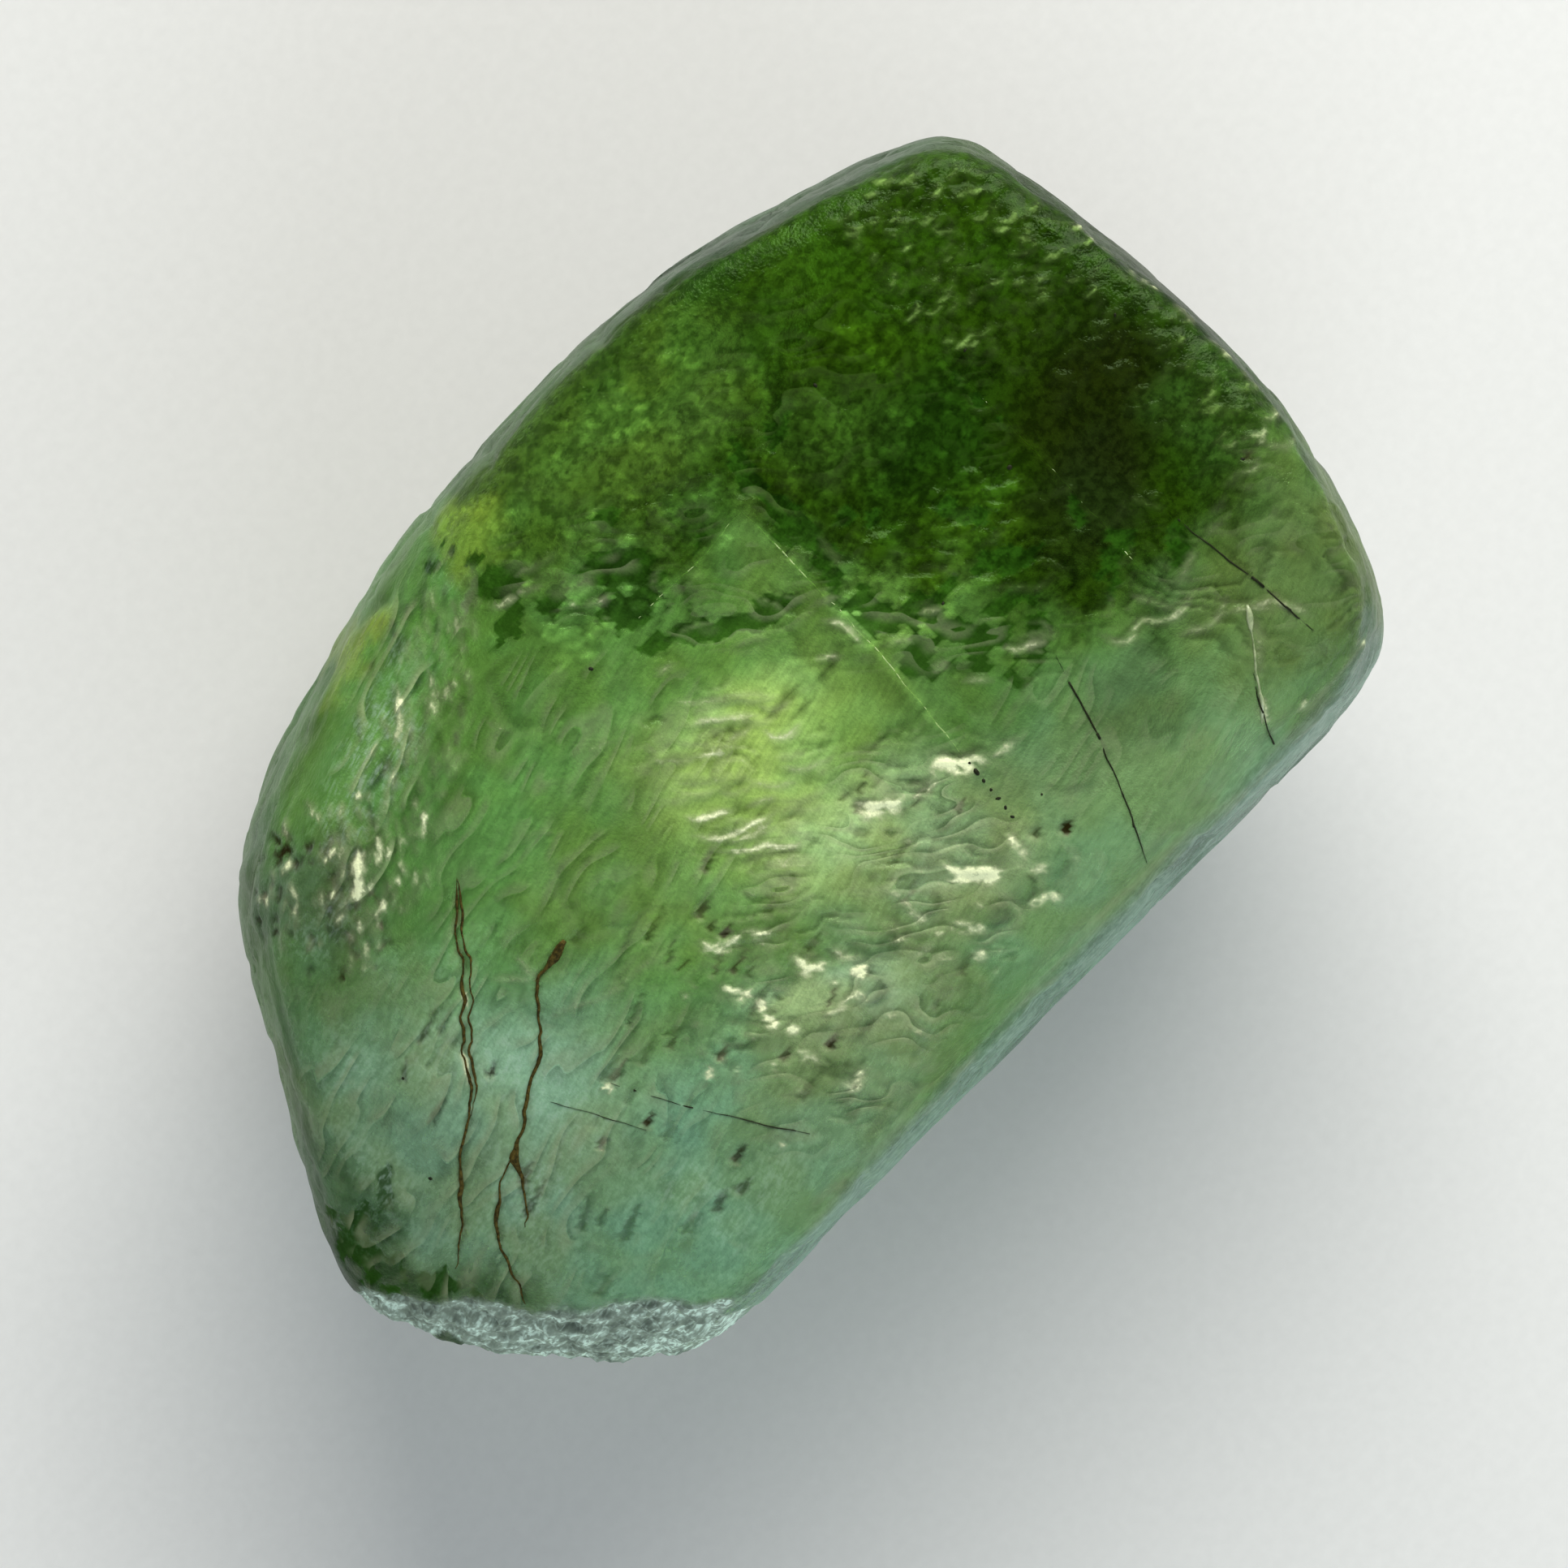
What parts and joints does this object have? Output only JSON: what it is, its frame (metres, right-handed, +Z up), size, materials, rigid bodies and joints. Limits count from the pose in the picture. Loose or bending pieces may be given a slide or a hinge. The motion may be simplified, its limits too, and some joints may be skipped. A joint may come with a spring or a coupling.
{
  "type": "rough peridot crystal",
  "caption": "Rough translucent green peridot crystal with etched, softly worn faces, lying on its flat back face.",
  "frame": {"origin": "middle of the bounding box, on the flat rest face", "axes": "+X along the crystal's long axis towards its dark end, +Y towards its upper side, +Z up from the rest face through the crystal's thickness"},
  "size_m": [0.0382, 0.0238, 0.0155],
  "materials": {
    "peridot": "clear to milky green crystal, IOR 1.67, glassy where etched smooth and frosted at the broken end",
    "iron_stain": "dull rust-brown iron stain in open seams and pits",
    "healed_crack": "thin bright sealed cracks and veils inside the crystal",
    "dark_grain": "near-black mineral grains and hairline cracks sealed in the crystal"
  },
  "bodies": {
    "root": {"peridot_crystal": "peridot"}
  },
  "joints": []
}
